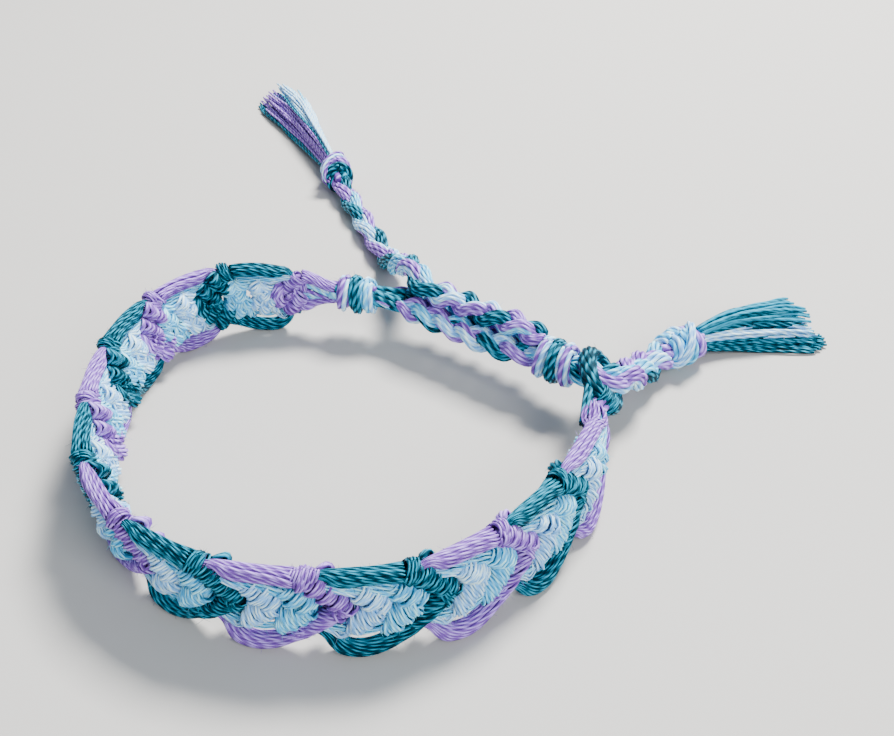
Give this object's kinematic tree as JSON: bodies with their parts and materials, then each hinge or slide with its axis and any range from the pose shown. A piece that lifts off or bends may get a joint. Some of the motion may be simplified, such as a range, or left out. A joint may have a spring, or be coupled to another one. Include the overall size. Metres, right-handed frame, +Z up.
{
  "type": "friendship bracelet",
  "caption": "Knotted friendship bracelet of embroidery floss: a chevron band standing as a ring, closed by braided ties with stopper knots and tassels",
  "frame": {"origin": "Middle of the band and closure's footprint, at the surface the bracelet stands on", "axes": "+Z up through the ring, +X to the closure's start loop side, +Y to the back where the long tie lies; the front of the band faces -Y"},
  "size_m": [0.0823, 0.1236, 0.0096],
  "materials": {
    "teal_floss": "satin",
    "lilac_floss": "satin",
    "aqua_floss": "satin",
    "white_floss": "satin",
    "mixed_floss": "satin"
  },
  "bodies": {
    "root": {"teal_chevron_1": "teal_floss", "teal_chevron_2": "teal_floss", "teal_chevron_3": "teal_floss", "teal_chevron_4": "teal_floss", "teal_chevron_5": "teal_floss", "teal_chevron_6": "teal_floss", "lilac_chevron_1": "lilac_floss", "lilac_chevron_2": "lilac_floss", "lilac_chevron_3": "lilac_floss", "lilac_chevron_4": "lilac_floss", "lilac_chevron_5": "lilac_floss", "lilac_chevron_6": "lilac_floss", "lilac_chevron_7": "lilac_floss", "aqua_row_2": "aqua_floss", "aqua_row_3": "aqua_floss", "aqua_row_4": "aqua_floss", "aqua_row_5": "aqua_floss", "aqua_row_6": "aqua_floss", "aqua_row_7": "aqua_floss", "aqua_row_8": "aqua_floss", "aqua_row_9": "aqua_floss", "aqua_row_10": "aqua_floss", "aqua_row_11": "aqua_floss", "aqua_row_12": "aqua_floss", "aqua_row_13": "aqua_floss", "white_row_2": "white_floss", "white_row_3": "white_floss", "white_row_4": "white_floss", "white_row_5": "white_floss", "white_row_6": "white_floss", "white_row_7": "white_floss", "white_row_8": "white_floss", "white_row_9": "white_floss", "white_row_10": "white_floss", "white_row_11": "white_floss", "white_row_12": "white_floss", "white_row_13": "white_floss", "gather_knot": "aqua_floss", "start_loop": "teal_floss", "closing_knot": "lilac_floss", "tie_a": "mixed_floss", "tie_b_outward": "mixed_floss", "tie_b": "mixed_floss", "stopper_knot_a": "aqua_floss", "stopper_knot_b": "lilac_floss", "tassel_a": "teal_floss", "tassel_b": "lilac_floss"}
  },
  "joints": []
}
